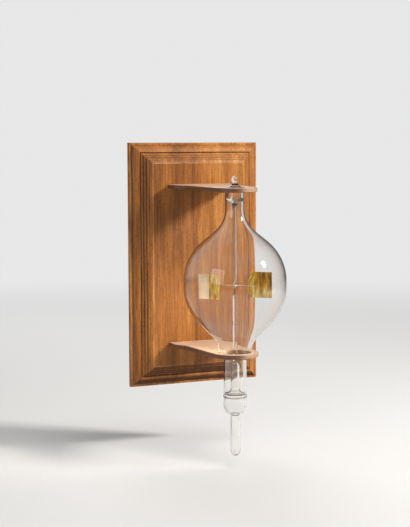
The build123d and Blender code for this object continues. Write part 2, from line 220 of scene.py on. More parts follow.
class ShapeRule(Tree):
    # A geometry tree with named inputs
    def __init__(self, name, inputs):
        group = bpy.data.node_groups.new(name, "GeometryNodeTree")
        super().__init__(group)
        group.interface.new_socket("Geometry", in_out="OUTPUT", socket_type="NodeSocketGeometry")
        for label, kind in {"Geometry": "Geometry", **inputs, "Material": "Material"}.items():
            group.interface.new_socket(label, in_out="INPUT", socket_type="NodeSocket" + kind)
        self.given = group.nodes.new("NodeGroupInput")

    def __getitem__(self, label):
        return Wire(self, self.given.outputs[label])

    def end(self, geometry):
        real = self.node("GeometryNodeRealizeInstances", {}, {0: geometry})
        dressed = self.node("GeometryNodeSetMaterial", {}, {0: real, "Material": self["Material"]})
        self.node("NodeGroupOutput", {}, {0: dressed})

    def run(self, name, start, values):
        piece = linked(name, start)
        modifier = piece.modifiers.new("rule", "NODES")
        modifier.node_group = self.tree
        for item in self.tree.interface.items_tree:
            if item.in_out == "INPUT" and item.name in values:
                modifier[item.identifier] = values[item.name]
        plain = plainMesh(piece)
        piece.modifiers.clear()
        piece.data = plain
        return piece


# Wood. Grooves, arrises and their widths are in millimetres in from the edge of the board
boardLook = {
    "darkWood": (0.120, 0.034, 0.005), "wood": (0.360, 0.128, 0.020), "paleWood": (0.660, 0.305, 0.075),
    "poreColour": (0.040, 0.011, 0.003), "dirtColour": (0.042, 0.013, 0.005),
    "wornColour": (0.56, 0.29, 0.11),
    "streaks": 60.0, "fineGrain": 620.0, "pores": 2300.0, "grainStretch": 0.055, "poreStretch": 0.15,
    "poreShade": 0.6,
    "grooves": (2.6, 10.4, 12.8, 15.2, 17.6), "grooveWidth": 0.55, "grooveDirt": 0.72,
    "arrises": (0.0, 9.6, 20.9), "arrisWidth": 0.9, "arrisWear": 0.55, "undersideDirt": 0.85,
    "wormHoles": 95.0, "wormRadius": 0.55 * mm, "wormShare": 0.30,
    "rough": 0.34, "coat": 0.1, "relief": 0.12 * mm,
}
bracketLook = {
    "darkWood": (0.13, 0.045, 0.015), "wood": (0.27, 0.130, 0.059), "paleWood": (0.70, 0.50, 0.36),
    "poreColour": (0.09, 0.035, 0.014), "streaks": 90.0, "fineGrain": 600.0, "pores": 1000.0,
    "grainStretch": 0.05, "poreStretch": 0.14, "poreShade": 0.6,
    "topPale": 0.6, "nosePale": 0.3, "noseSide": (0.55, -0.84), "edgeDark": 0.75,
    "rough": 0.42, "coat": 0.15, "relief": 0.1 * mm,
}


def grainOf(finish, look, along):
    # along is the axis of the grain: 1 for Y, 2 for Z
    def lengthened(amount):
        return finish.stretched(finish.place, tuple(amount if axis == along else 1.0 for axis in range(3)))
    warp = finish.noise(lengthened(look["grainStretch"] * 4), look["streaks"] / 3, 2.0)
    streaks = finish.noise(lengthened(look["grainStretch"]), look["streaks"], 5.0, 0.62)
    fine = finish.noise(lengthened(look["grainStretch"]), look["fineGrain"], 3.0, 0.6)
    pores = finish.noise(lengthened(look["poreStretch"]), look["pores"], 1.0).ramp(0.57, 0.66)
    tone = streaks * 0.62 + warp * 0.2 + fine * 0.34 - 0.08
    stops = [(0.0, look["darkWood"]), (0.5, look["wood"]), (1.0, look["paleWood"])]
    colour = finish.colours(tone.ramp(0.28, 0.82), stops)
    colour = finish.mixed(pores * look["poreShade"], colour, look["poreColour"])
    return colour, pores, fine


def mouldingMarks(finish, look):
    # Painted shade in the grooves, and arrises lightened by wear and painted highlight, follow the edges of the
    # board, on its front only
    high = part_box("back_board")[1]
    inward = ((high.x - abs(finish.x)).least(high.z - abs(finish.z))) / mm
    moulded = 1 - finish.facing()[1].ramp(0.8, 0.95)

    def lines(places, width):
        found = 0.0
        for place in places:
            found = (1 - (abs(inward - place) / width)).most(found)
        return found * moulded
    return lines(look["grooves"], look["grooveWidth"]), lines(look["arrises"], look["arrisWidth"])


def wormMarks(finish, look):
    # Small round holes in a share of the cells, on the left part of the front
    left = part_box("back_board")[0].x
    cells = finish.node("ShaderNodeTexVoronoi", {}, {"Vector": finish.place, "Scale": look["wormHoles"]})
    cellShade = Wire(finish, cells.socket.node.outputs["Color"])
    chosen = finish.parts(cellShade)[0].ramp(1 - look["wormShare"], 1 - look["wormShare"] + 0.01)
    reach = look["wormRadius"] * look["wormHoles"]
    hole = (1 - cells.ramp(reach * 0.75, reach)) * chosen
    return hole * finish.x.ramp(0.2 * left, 0.75 * left) * (finish.y + 0.5 * mm).ramp(0.0, -0.5 * mm)


def makeBoardWood():
    look = boardLook
    finish = Finish("boardWood")
    colour, pores, fine = grainOf(finish, look, 2)
    groove, wearAndHighlight = mouldingMarks(finish, look)
    hole = wormMarks(finish, look)
    patch = finish.noise(finish.place, 38.0, 3.0)
    smudge = finish.noise(finish.place, 24.0, 4.0)
    underside = (-finish.facing()[2]).ramp(0.1, 0.5)
    # Wear with painted highlight: the arrises are lightened, partly as rubbed edges and partly where light
    # catches them
    colour = finish.mixed(wearAndHighlight * patch.ramp(0.35, 0.65) * look["arrisWear"], colour, look["wornColour"])
    # Painted shade: the grooves are darkened where shade falls in them
    colour = finish.mixed(groove.ramp(0.0, 1.0) * look["grooveDirt"], colour, look["dirtColour"])
    colour = finish.mixed(hole, colour, look["poreColour"])
    # Painted shade: faces that look down are darkened as if in shade
    colour = finish.mixed(underside * look["undersideDirt"], colour, look["dirtColour"])
    rough = look["rough"] + smudge * 0.22 + pores * 0.2 + groove * 0.2 + underside * 0.4
    height = fine * 0.35 - pores * 0.6 - hole * 3.0
    surface = finish.principled(colour=colour, rough=rough, coatRough=0.28, shine=0.3,
                                coat=look["coat"] * (1 - groove) * (1 - underside),
                                normal=finish.bump(height, look["relief"], 0.7))
    return finish.done(surface)


def makeBracketWood():
    look = bracketLook
    finish = Finish("bracketWood")
    colour, pores, fine = grainOf(finish, look, 1)
    facing = finish.facing()
    upward = facing[2].ramp(0.5, 0.9)
    # Painted light: faces turned towards the key lamp, to the right and front, are paled
    lampSide = (facing[0] * look["noseSide"][0] + facing[1] * look["noseSide"][1]).ramp(0.55, 0.98)
    # Painted light: the upward faces are paled as if lit from above
    colour = finish.mixed(upward * look["topPale"], colour, look["paleWood"])
    colour = finish.mixed(lampSide * look["nosePale"], colour, look["paleWood"])
    # Painted shade: the sides that face neither up nor towards the lamp are darkened
    colour = finish.mixed((1 - upward) * (1 - lampSide) * look["edgeDark"], colour, look["darkWood"])
    height = fine * 0.4 - pores * 0.6
    surface = finish.principled(colour=colour, rough=look["rough"] + fine * 0.2, coatRough=0.3,
                                coat=look["coat"] + upward * 0.1,
                                normal=finish.bump(height, look["relief"], 0.6))
    return finish.done(surface)


# Glass
glassLook = {
    "tint": (0.985, 0.980, 0.965), "rimTint": (0.40, 0.37, 0.33), "rimNarrowness": 4.0, "ior": 1.47,
    "shadowTint": (0.97, 0.965, 0.95), "waves": 26.0, "sealWaves": 234.0, "waveHeight": 0.05 * mm,
    "dust": 0.035,
}


def makeClearGlass(name, waves):
    look = glassLook
    finish = Finish(name)
    ripple = finish.noise(finish.stretched(finish.place, (1.0, 1.0, 0.35)), waves, 1.0)
    film = finish.noise(finish.place, 60.0, 4.0, 0.65)
    # Painted shade: the glass colour darkens towards its grazing rims, standing in for dark refracted edges
    rim = finish.node("ShaderNodeLayerWeight", {}, {"Blend": 0.5}, "Facing") ** look["rimNarrowness"]
    glass = finish.principled(colour=finish.mixed(rim, look["tint"], look["rimTint"]), clear=1.0,
                              rough=film.ramp(0.45, 0.8) * look["dust"], ior=look["ior"],
                              normal=finish.bump(ripple, look["waveHeight"], 0.6))
    air = finish.node("ShaderNodeBsdfTransparent", {}, {"Color": (*look["shadowTint"], 1.0)})
    shadow = finish.node("ShaderNodeLightPath", output="Is Shadow Ray")
    return finish.done(finish.blended(shadow, glass, air))


# Metal
metalLook = {
    "plateBrass": {"colour": (0.50, 0.33, 0.13), "stain": (0.16, 0.095, 0.045), "rough": 0.34, "spots": 140.0},
    "screwSteel": {"colour": (0.36, 0.34, 0.31), "stain": (0.13, 0.10, 0.08), "rough": 0.36, "spots": 400.0},
    "armWire": {"colour": (0.96, 0.90, 0.82), "stain": (0.36, 0.34, 0.31), "rough": 0.38, "spots": 500.0},
    "needleSteel": {"colour": (0.10, 0.095, 0.09), "stain": (0.13, 0.10, 0.08), "rough": 0.25, "spots": 700.0},
}


def makeMetal(name):
    look = metalLook[name]
    finish = Finish(name)
    spots = finish.noise(finish.place, look["spots"], 5.0, 0.6).ramp(0.42, 0.7)
    brushed = finish.noise(finish.stretched(finish.place, (0.06, 1.0, 1.0)), 2600.0, 2.0)
    surface = finish.principled(colour=finish.mixed(spots * 0.8, look["colour"], look["stain"]),
                                metal=1.0 - spots * 0.35, rough=look["rough"] + spots * 0.25 + brushed * 0.1,
                                normal=finish.bump(brushed + spots, 0.03 * mm, 0.5))
    return finish.done(surface)


# Mica and foil
vaneLook = {
    "mica": (0.74, 0.53, 0.34), "micaDark": (0.52, 0.35, 0.19), "micaRough": 0.38,
    "foilGold": (0.56, 0.32, 0.022), "foilPale": (0.92, 0.68, 0.16), "foilOlive": (0.110, 0.070, 0.005),
    "foilOrange": (0.60, 0.250, 0.010), "patches": 150.0, "creases": 460.0, "foilMetal": 0.6,
    "foilRough": 0.26, "foilRelief": 0.35 * mm,
}


def makeMica():
    look = vaneLook
    finish = Finish("vaneMica")
    cloud = finish.noise(finish.stretched(finish.place, (1.0, 1.0, 0.5)), 130.0, 4.0, 0.6)
    scratches = finish.noise(finish.stretched(finish.place, (1.0, 1.0, 0.08)), 900.0, 2.0)
    colour = finish.mixed(cloud.ramp(0.35, 0.75), look["mica"], look["micaDark"])
    surface = finish.principled(colour=colour, rough=look["micaRough"] + scratches * 0.2, coat=0.3,
                                coatRough=0.2, normal=finish.bump(scratches + cloud, 0.05 * mm, 0.5))
    return finish.done(surface)


def makeFoil():
    look = vaneLook
    finish = Finish("vaneFoil")
    patches = finish.noise(finish.stretched(finish.place, (1.0, 1.0, 0.22)), look["patches"], 3.0, 0.55)
    creases = finish.noise(finish.stretched(finish.place, (1.0, 1.0, 0.2)), look["creases"], 4.0, 0.6)
    stops = [(0.0, look["foilOlive"]), (0.36, look["foilOrange"]), (0.5, look["foilGold"]),
             (0.9, look["foilPale"])]
    colour = finish.colours((patches * 0.6 + creases * 0.45).ramp(0.36, 0.70), stops)
    surface = finish.principled(colour=colour, metal=look["foilMetal"], rough=look["foilRough"] + patches * 0.2,
                                normal=finish.bump(creases, look["foilRelief"], 0.9))
    return finish.done(surface)


boardWood = makeBoardWood()
bracketWood = makeBracketWood()
clearGlass = makeClearGlass("clearGlass", glassLook["waves"])
sealGlass = makeClearGlass("sealGlass", glassLook["sealWaves"])
brass, steel, brightWire, needleSteel = (makeMetal(name) for name in metalLook)
mica = makeMica()
foil = makeFoil()
print("materials made")

nodeFinish = {
    "back_board": boardWood, "upper_bracket_screws": steel, "lower_bracket_screws": steel,
    "hanging_plate": brass, "hanging_plate_screws": brass, "needle": needleSteel, "cup_band": brightWire,
    "right_arm_wire": brightWire, "left_arm_wire": brightWire,
}
for name, finish in nodeFinish.items():
    slots = nodes[name].data.materials
    slots.clear()
    slots.append(finish)
print("board, screws, plate, needle and wires dressed")


# Shaping
bulbLow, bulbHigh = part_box("bulb")
axisPoint = Vector(((bulbLow.x + bulbHigh.x) / 2, (bulbLow.y + bulbHigh.y) / 2, 0))


def arc(middleX, middleY, radius, start, end, steps=16):
    turns = [start + (end - start) * i / steps for i in range(steps + 1)]
    return [(middleX + radius * math.cos(a), middleY + radius * math.sin(a)) for a in turns]


def swell(fromR, fromZ, toR, toZ, steps=14):
    # Upright at both ends
    shares = [i / steps for i in range(steps + 1)]
    return [(fromR + (toR - fromR) * t * t * (3 - 2 * t), fromZ + (toZ - fromZ) * t) for t in shares]


def tidied(piece, angle=math.radians(35)):
    # Welds what coincides, drops faces and edges of no size and turns all faces outwards
    work = bmesh.new()
    work.from_mesh(piece.data)
    bmesh.ops.remove_doubles(work, verts=work.verts, dist=weldDistance)
    bmesh.ops.dissolve_degenerate(work, edges=work.edges, dist=1e-7)
    bmesh.ops.delete(work, geom=[e for e in work.edges if not e.link_faces], context="EDGES")
    bmesh.ops.recalc_face_normals(work, faces=work.faces)
    work.to_mesh(piece.data)
    work.free()
    piece.data.set_sharp_from_angle(angle=angle)
    return piece


def thickened(piece, thickness):
    thicken = piece.modifiers.new("thickness", "SOLIDIFY")
    thicken.thickness, thicken.offset = thickness, 0.0
    solid = plainMesh(piece)
    piece.modifiers.clear()
    piece.data = solid
    tidied(piece)


def standsFor(piece, body, slot, *replaced):
    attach(piece, body)
    if replaced:
        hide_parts(*replaced)


# Brackets
bracketSizes = {
    "rootHalf": 33.5 * mm, "rootFrom": -12 * mm, "straightTo": -30 * mm, "waistHalf": 27 * mm,
    "waistAt": -47 * mm, "boardFace": -17 * mm, "round": 0.7 * mm,
    "upper": {"hole": 9.9 * mm, "nose": 21.9 * mm, "drop": 1.4 * mm},
    "lower": {"hole": 15.9 * mm, "nose": 23.0 * mm, "drop": 0.0},
}


def bracketOutline(nose, inset):
    # Straight root, soft shoulder, then a taper that touches the round nose
    size = bracketSizes
    half = size["rootHalf"] - inset
    waist = Vector((size["waistHalf"] - inset, size["waistAt"]))
    reach = Vector((0, axisPoint.y)) - waist
    bearing = math.atan2(reach.y, reach.x) + math.asin(nose / reach.length)
    heading = Vector((math.cos(bearing), math.sin(bearing)))
    start = Vector((half, size["straightTo"]))
    pull = (start - waist).length / 3
    shoulder = interpolate_bezier(start, start - Vector((0, pull)), waist - heading * pull, waist, 16)
    side = [(half, size["rootFrom"] - inset)] + [tuple(point) for point in shoulder]
    side += arc(0, axisPoint.y, nose, bearing + pi / 2, -pi / 2, 28)
    return side + [(-x, y) for x, y in reversed(side[:-1])]


def bracketCurve(side, thickness):
    # The curve's own edge rounding adds to the outline and narrows the hole, so both are drawn short of it
    look, rounding = bracketSizes[side], bracketSizes["round"]
    curve = bpy.data.curves.new(side + "_bracket_shape", "CURVE")
    curve.dimensions, curve.fill_mode = "2D", "BOTH"
    curve.extrude = thickness / 2 - rounding
    curve.bevel_depth, curve.bevel_resolution = rounding, 3
    hole = arc(0, axisPoint.y, look["hole"] + rounding, 0, 2 * pi, 96)[:-1]
    for outline in (bracketOutline(look["nose"] - rounding, rounding), hole):
        spline = curve.splines.new("POLY")
        spline.points.add(len(outline) - 1)
        for point, (x, y) in zip(spline.points, outline):
            point.co = (x, y, 0, 1)
        spline.use_cyclic_u = True
    return curve


def makeBracket(side):
    # The nose drops a little below the root
    low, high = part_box(side + "_bracket")
    drawn = linked(side + "_bracket_shape", bracketCurve(side, high.z - low.z))
    mesh = plainMesh(drawn)
    bpy.data.objects.remove(drawn)
    middle, face = (low.z + high.z) / 2, bracketSizes["boardFace"]
    for vertex in mesh.vertices:
        vertex.co.z += middle - bracketSizes[side]["drop"] * (face - vertex.co.y) / (face - low.y)
    mesh.materials.clear()
    mesh.materials.append(bracketWood)
    piece = linked(side + "_wooden_bracket", mesh)
    standsFor(tidied(piece, math.radians(8)), "stand", "bracket_wood", side + "_bracket")


makeBracket("upper")
makeBracket("lower")
print("brackets shaped")


# Turned glass
def makeTurningRule():
    # Carries an outline of points (radius, 0, height) round an upright axis
    rule = ShapeRule("turnedOutline", {"Segments": "Int", "Axis": "Vector", "Unevenness": "Float",
                                       "Wave length": "Float", "Seed": "Float"})
    outline = rule["Geometry"]
    count = rule.node("GeometryNodeAttributeDomainSize", {"component": "MESH"}, {0: outline})
    values = {"Size X": 1.0, "Size Y": 1.0, "Vertices X": rule["Segments"] + 1.0, "Vertices Y": count}
    grid = rule.node("GeometryNodeMeshGrid", {}, values)
    position = rule.node("GeometryNodeInputPosition")
    across, along, _ = rule.parts(position)
    index = (along + 0.5) * (count - 1) + 0.5
    index = index.maths("FLOOR", index)
    sample = {"data_type": "FLOAT_VECTOR", "domain": "POINT"}
    found = rule.node("GeometryNodeSampleIndex", sample, {0: outline, "Value": position, "Index": index})
    radius, _, height = rule.parts(found)
    angle = (across + 0.5) * (2 * pi)
    circled = rule.joined(radius * angle.maths("COSINE", angle), radius * angle.maths("SINE", angle), height)

    # The surface swings in and out, but not on the axis itself, where the ends stay closed
    values = {"Vector": circled, "W": rule["Seed"], "Scale": 1 / rule["Wave length"], "Detail": 1.0}
    waves = rule.node("ShaderNodeTexNoise", {"noise_dimensions": "4D"}, values, 1)
    swing = rule.vectors("SUBTRACT", {0: waves, 1: (0.5, 0.5, 0.5)})
    swing = rule.vectors("SCALE", {0: swing, "Scale": rule["Unevenness"]})
    calm = radius / (radius + 1 * mm)
    moved = rule.vectors("ADD", {0: circled, 1: rule.stretched(swing, rule.joined(calm, calm, 1.0))})
    placed = rule.vectors("ADD", {0: moved, 1: rule["Axis"]})
    turned = rule.node("GeometryNodeSetPosition", {}, {0: grid, "Position": placed})
    welded = rule.node("GeometryNodeMergeByDistance", {}, {0: turned, "Distance": weldDistance})
    rule.end(rule.node("GeometryNodeSetShadeSmooth", {}, {0: welded}))
    return rule


turningRule = makeTurningRule()


def turnedPiece(name, outline, finish=clearGlass, segments=96, uneven=0.0, waveLength=9 * mm, seed=1.0):
    start = bpy.data.meshes.new(name)
    start.from_pydata([(r, 0, z) for r, z in outline + outline[:1]], [], [])
    values = {"Segments": segments, "Axis": axisPoint, "Unevenness": uneven, "Wave length": waveLength,
              "Seed": seed, "Material": finish}
    return tidied(turningRule.run(name, start, values))


# Envelope: necks, bulb and tip in one skin
envelopeSizes = {
    "wall": 1.1 * mm, "bulb": 50.3 * mm, "upperNeck": 9.4 * mm, "throat": 15.5 * mm, "lowerNeck": 11.2 * mm,
    "upperSweep": 28 * mm, "lowerSweep": 25 * mm, "upperCone": math.radians(51),
    "lowerCone": math.radians(44), "middle": -10 * mm, "throatHeight": -81.8 * mm, "shoulder": 5.2 * mm,
    "headLength": 8.7 * mm, "tipWaist": 2.3 * mm, "tipBall": 3.3 * mm, "crown": 3.6 * mm,
    "uneven": 0.25 * mm, "waveLength": 45 * mm,
}


def sweepDistance(angle, sweep, neck):
    # From the middle of a ball, down its cone, to the end of the hollow sweep
    reach = envelopeSizes["bulb"] + sweep
    cone = (reach * math.cos(angle) - neck - sweep) / math.sin(angle)
    return reach * math.sin(angle) + cone * math.cos(angle)


def envelopeSide(inset):
    # From the ring up to the upper neck: a half ball below, a short straight band and a half ball above
    size = envelopeSizes
    ringTop, throatHeight = heights("lower_neck")[0], size["throatHeight"]
    shoulder = throatHeight - size["shoulder"]
    low, high, bulb = size["lowerCone"], size["upperCone"], size["bulb"] - inset
    lowSweep, highSweep = size["lowerSweep"], size["upperSweep"]
    neck, throat = size["lowerNeck"] - inset, size["throat"] - inset
    lowerMiddle = throatHeight + sweepDistance(low, lowSweep, size["throat"])
    upperEnd = size["middle"] + sweepDistance(high, highSweep, size["upperNeck"])
    side = [(neck, ringTop + (shoulder - ringTop) * i / 8) for i in range(8)]
    side += swell(neck, shoulder, throat, throatHeight, 12)[:-1]
    side += arc(size["throat"] + lowSweep, throatHeight, lowSweep + inset, pi, pi - low)
    side += arc(0, lowerMiddle, bulb, -low, 0, 24)
    side += arc(0, size["middle"], bulb, 0, high, 26)
    return side + arc(size["upperNeck"] + highSweep, upperEnd, highSweep + inset, pi + high, pi)


def makeEnvelope():
    size = envelopeSizes
    bore = size["upperNeck"] - size["wall"]
    ballRise = math.sqrt(size["tipBall"]**2 - size["tipWaist"]**2)
    ballMiddle = heights("upper_neck")[1] - size["tipBall"]
    waist = ballMiddle - ballRise
    headBottom = waist - size["headLength"]
    outer = envelopeSide(0) + swell(size["upperNeck"], headBottom, size["tipWaist"], waist, 20)
    outer += arc(0, ballMiddle, size["tipBall"], -math.asin(ballRise / size["tipBall"]), pi / 2)[1:]
    crown = [(bore * c, headBottom + size["crown"] * s) for c, s in arc(0, 0, 1, 0, pi / 2, 10)]
    inner = envelopeSide(size["wall"]) + crown
    envelope = turnedPiece("glass_envelope", outer + inner[::-1], segments=160, uneven=size["uneven"],
                           waveLength=size["waveLength"])
    standsFor(envelope, "stand", "clear_glass", "upper_neck", "bulb", "lower_neck")


# Guide tube and its seal in the upper neck
guideSizes = {
    "flareDrop": 9 * mm, "flareStart": 2.33 * mm, "flareCurve": 1.8, "rim": 1.3 * mm, "dome": 1.6 * mm,
    "thickness": 2.15 * mm, "uneven": 0.7 * mm, "waveLength": 5 * mm, "tubeWall": 0.8 * mm,
}


def makeGuideSeal():
    # The guide tube flares out to the wall of the neck
    size = guideSizes
    start, top = size["flareStart"], heights("guide_seal")[1]
    reach = envelopeSizes["upperNeck"] - envelopeSizes["wall"] - clearance
    rise = size["flareDrop"] - size["rim"]
    outline = [(start + (reach - start) * r**size["flareCurve"], top - size["flareDrop"] + rise * z)
               for r, z in swell(0, 0, 1, 1, 14)]
    outline += [(reach * c, top + size["dome"] * s) for c, s in arc(0, 0, 1, 0, pi / 2, 10)]
    outline += [(0, top - size["thickness"]), (start, top - size["thickness"])]
    seal = turnedPiece("guide_flare", outline, sealGlass, segments=72, uneven=size["uneven"],
                       waveLength=size["waveLength"], seed=4.0)
    standsFor(seal, "stand", "clear_glass", "guide_seal")


def makeGuideTube():
    (low, high), outer, wall = heights("guide_tube"), halfWidth("guide_tube"), guideSizes["tubeWall"]
    lip = arc(outer - wall / 2, low + wall / 2, wall / 2, 2 * pi, pi, 8)
    tube = turnedPiece("guide_glass_tube", [(outer, high)] + lip + [(outer - wall, high)], segments=48)
    standsFor(tube, "stand", "clear_glass", "guide_tube")


# Ring, base bulb and tail below the lower neck
baseSizes = {
    "ringBulge": 0.5 * mm, "ringUneven": 0.45 * mm, "ringWaves": 6 * mm,
    "base": 11.6 * mm, "baseWall": 1.3 * mm, "shoulderDrop": 7 * mm, "baseUneven": 0.3 * mm,
    "baseWaves": 14 * mm,
    "tail": 4.9 * mm, "tailWall": 1.2 * mm, "tailUneven": 0.12 * mm, "tailWaves": 8 * mm,
}


def makeRingSeal():
    size = baseSizes
    low, high = heights("ring_seal")
    middle, half = (low + high) / 2, (high - low) / 2
    outside = envelopeSizes["lowerNeck"]
    inside = outside - envelopeSizes["wall"]
    shares = [i / 12 * 2 - 1 for i in range(13)]
    outer = [(outside + size["ringBulge"] * (1 - s * s), middle + half * s) for s in shares]
    inner = [(inside - size["ringBulge"] * (1 - s * s), middle + half * s) for s in reversed(shares)]
    ring = turnedPiece("neck_ring", outer + inner, sealGlass, uneven=size["ringUneven"],
                       waveLength=size["ringWaves"], seed=2.0)
    standsFor(ring, "stand", "clear_glass", "ring_seal")


def makeBaseBulb():
    size = baseSizes
    low, high = heights("base_bulb")
    shoulder = high - size["shoulderDrop"]

    def side(inset, end):
        radius = size["base"] - inset
        run = swell(envelopeSizes["lowerNeck"] - inset, high, radius, shoulder, 6)
        return run + arc(0, shoulder, radius, 0, -math.acos(end / radius), 26)[1:]
    bore = size["tail"] - size["tailWall"]
    outline = side(0, size["tail"]) + [(bore, low)] + side(size["baseWall"], bore)[::-1]
    bulb = turnedPiece("base_glass_bulb", outline, uneven=size["baseUneven"], waveLength=size["baseWaves"],
                       seed=7.0)
    standsFor(bulb, "stand", "clear_glass", "base_bulb")


def makeTailTube():
    size = baseSizes
    low, high = heights("tail_tube")
    bore = size["tail"] - size["tailWall"]
    outer = arc(0, low + size["tail"], size["tail"], -pi / 2, 0, 14) + [(size["tail"], high)]
    inner = arc(0, low + 2 * size["tailWall"] + bore, bore, -pi / 2, 0, 14) + [(bore, high)]
    tail = turnedPiece("tail_glass_tube", outer + inner[::-1], segments=64, uneven=size["tailUneven"],
                       waveLength=size["tailWaves"])
    standsFor(tail, "stand", "clear_glass", "tail_tube")


# Support tube, rod and collar
supportSizes = {
    "tube": 4.4 * mm, "wall": 0.9 * mm, "flare": 6 * mm, "tubeUneven": 0.1 * mm,
    "rodUneven": 0.2 * mm, "rodWaves": 12 * mm, "collarUneven": 0.2 * mm, "collarWaves": 4 * mm,
}


def makeSupportTube():
    # A rounded top, and a foot that flares out to the ring
    size = supportSizes
    low, high = heights("support_tube")
    rim = envelopeSizes["lowerNeck"] - envelopeSizes["wall"] - clearance

    def side(inset):
        radius, drop = size["tube"] - inset, size["wall"] - inset
        flare = [(rim + (radius - rim) * s, low + drop + (size["flare"] - drop) * (1 - c))
                 for c, s in arc(0, 0, 1, 0, pi / 2, 14)]
        return flare + arc(0, high - size["tube"], radius, 0, pi / 2, 14)
    outline = side(0) + side(size["wall"])[::-1]
    tube = turnedPiece("support_glass_tube", outline, segments=72, uneven=size["tubeUneven"], seed=3.0)
    standsFor(tube, "stand", "clear_glass", "support_tube")


def makeRod():
    (low, high), radius = heights("support_rod"), halfWidth("support_rod")
    outline = [(0, low)] + [(radius, low + (high - low) * i / 8) for i in range(9)] + [(0, high)]
    rod = turnedPiece("support_glass_rod", outline, segments=48, uneven=supportSizes["rodUneven"],
                      waveLength=supportSizes["rodWaves"], seed=5.0)
    standsFor(rod, "stand", "clear_glass", "support_rod")


def makeCollar():
    low, high = heights("rod_collar")
    middle, half = (low + high) / 2, (high - low) / 2
    bore = halfWidth("support_rod") + clearance
    bulge = halfWidth("rod_collar") - bore
    outline = [(bore + bulge * c, middle + half * s) for c, s in arc(0, 0, 1, -pi / 2, pi / 2, 12)]
    collar = turnedPiece("rod_glass_collar", outline, sealGlass, segments=48,
                         uneven=supportSizes["collarUneven"], waveLength=supportSizes["collarWaves"], seed=6.0)
    standsFor(collar, "stand", "clear_glass", "rod_collar")


# Bead that holds the needle, and the cup that rides on it
beadSizes = {"foot": 2.2 * mm, "steps": 14}
cupSizes = {
    "cup": 1.6 * mm, "bore": 1.0 * mm, "rim": 2.0 * mm, "rimHeight": 0.7 * mm, "nipple": 0.6 * mm,
    "nippleLength": 3.2 * mm, "roof": 0.9 * mm,
}


def makeBead():
    (low, high), foot, steps = heights("needle_bead"), beadSizes["foot"], beadSizes["steps"]
    bore = halfWidth("needle") + clearance
    bulge = halfWidth("needle_bead") - foot
    narrowing = bore + clearance - foot
    outer = [(foot + bulge * math.sin(pi * s) + narrowing * s**3, low + (high - low) * s)
             for s in (i / steps for i in range(steps + 1))]
    socket = heights("needle")[0]
    outline = [(0, low)] + outer + [(bore, high), (bore, socket), (0, socket)]
    bead = turnedPiece("needle_glass_bead", outline, segments=48, seed=8.0)
    standsFor(bead, "stand", "clear_glass", "needle_bead")


def makePivotCup():
    size = cupSizes
    low, high = heights("pivot_cup")
    top = high - size["nippleLength"]
    roof = top - size["roof"]
    lip = size["rim"] - size["bore"]
    outline = [(size["bore"] + lip * math.sin(a), low + size["rimHeight"] * (1 - math.cos(a)) / 2)
               for a in (pi * i / 10 for i in range(9))]
    outline += [(size["cup"], low + size["rimHeight"])]
    outline += swell(size["cup"], top - size["cup"] / 2, size["nipple"], top + size["nipple"], 10)
    outline += arc(0, high - size["nipple"], size["nipple"], 0, pi / 2, 8)
    outline += arc(0, roof - size["bore"], size["bore"], pi / 2, 0, 10)
    cup = turnedPiece("pivot_glass_cup", outline, segments=56, seed=9.0)
    standsFor(cup, "rotor", "clear_glass", "pivot_cup")


makeEnvelope()
makeGuideSeal()
makeGuideTube()
makeRingSeal()
makeBaseBulb()
makeTailTube()
makeSupportTube()
makeRod()
makeCollar()
makeBead()
makePivotCup()
print("glass turned")


# Vanes: a mica plate each, with a sheet of foil folded round its inner edge
vaneSizes = {
    "right": {"inner": 14.2 * mm, "outer": 37.8 * mm, "height": 25.0 * mm, "rise": 1.4 * mm, "lean": 0.0,
              "cutWidth": 5.5 * mm, "cutHeight": 9 * mm, "return": 10.5 * mm, "seed": 2.0},
    "left": {"inner": 17.0 * mm, "outer": 38.3 * mm, "height": 24.3 * mm, "rise": -2.3 * mm,
             "lean": 0.6 * mm, "cutWidth": 0.0, "cutHeight": 0.0, "return": 9.8 * mm, "seed": 11.0},
}
foilSizes = {
    "thickness": 0.12 * mm, "gap": 0.08 * mm, "creasing": 0.6 * mm, "creaseWidth": 3.0 * mm,
    "step": 0.45 * mm, "foldBulge": 0.6, "curl": 0.8 * mm, "curlEnds": 0.55,
    "curlTurn": math.radians(290), "curlRows": 24, "curlSteps": 20,
}


def makeCreasingRule():
    # Pushes a sheet outwards in soft upright creases
    rule = ShapeRule("creasedSheet", {"Creasing": "Float", "Crease width": "Float", "Seed": "Float"})
    drawn = rule.stretched(rule.node("GeometryNodeInputPosition"), (1.0, 1.0, 0.35))
    values = {"Vector": drawn, "W": rule["Seed"], "Scale": 1 / rule["Crease width"], "Detail": 2.0,
              "Roughness": 0.55}
    waves = rule.node("ShaderNodeTexNoise", {"noise_dimensions": "4D"}, values).ramp(0.3, 0.7)
    normal = rule.node("GeometryNodeInputNormal")
    push = rule.vectors("SCALE", {0: normal, "Scale": waves * rule["Creasing"]})
    pushed = rule.node("GeometryNodeSetPosition", {}, {0: rule["Geometry"], "Offset": push})
    rule.end(rule.node("GeometryNodeSetShadeSmooth", {}, {0: pushed}))
    return rule


creasingRule = makeCreasingRule()


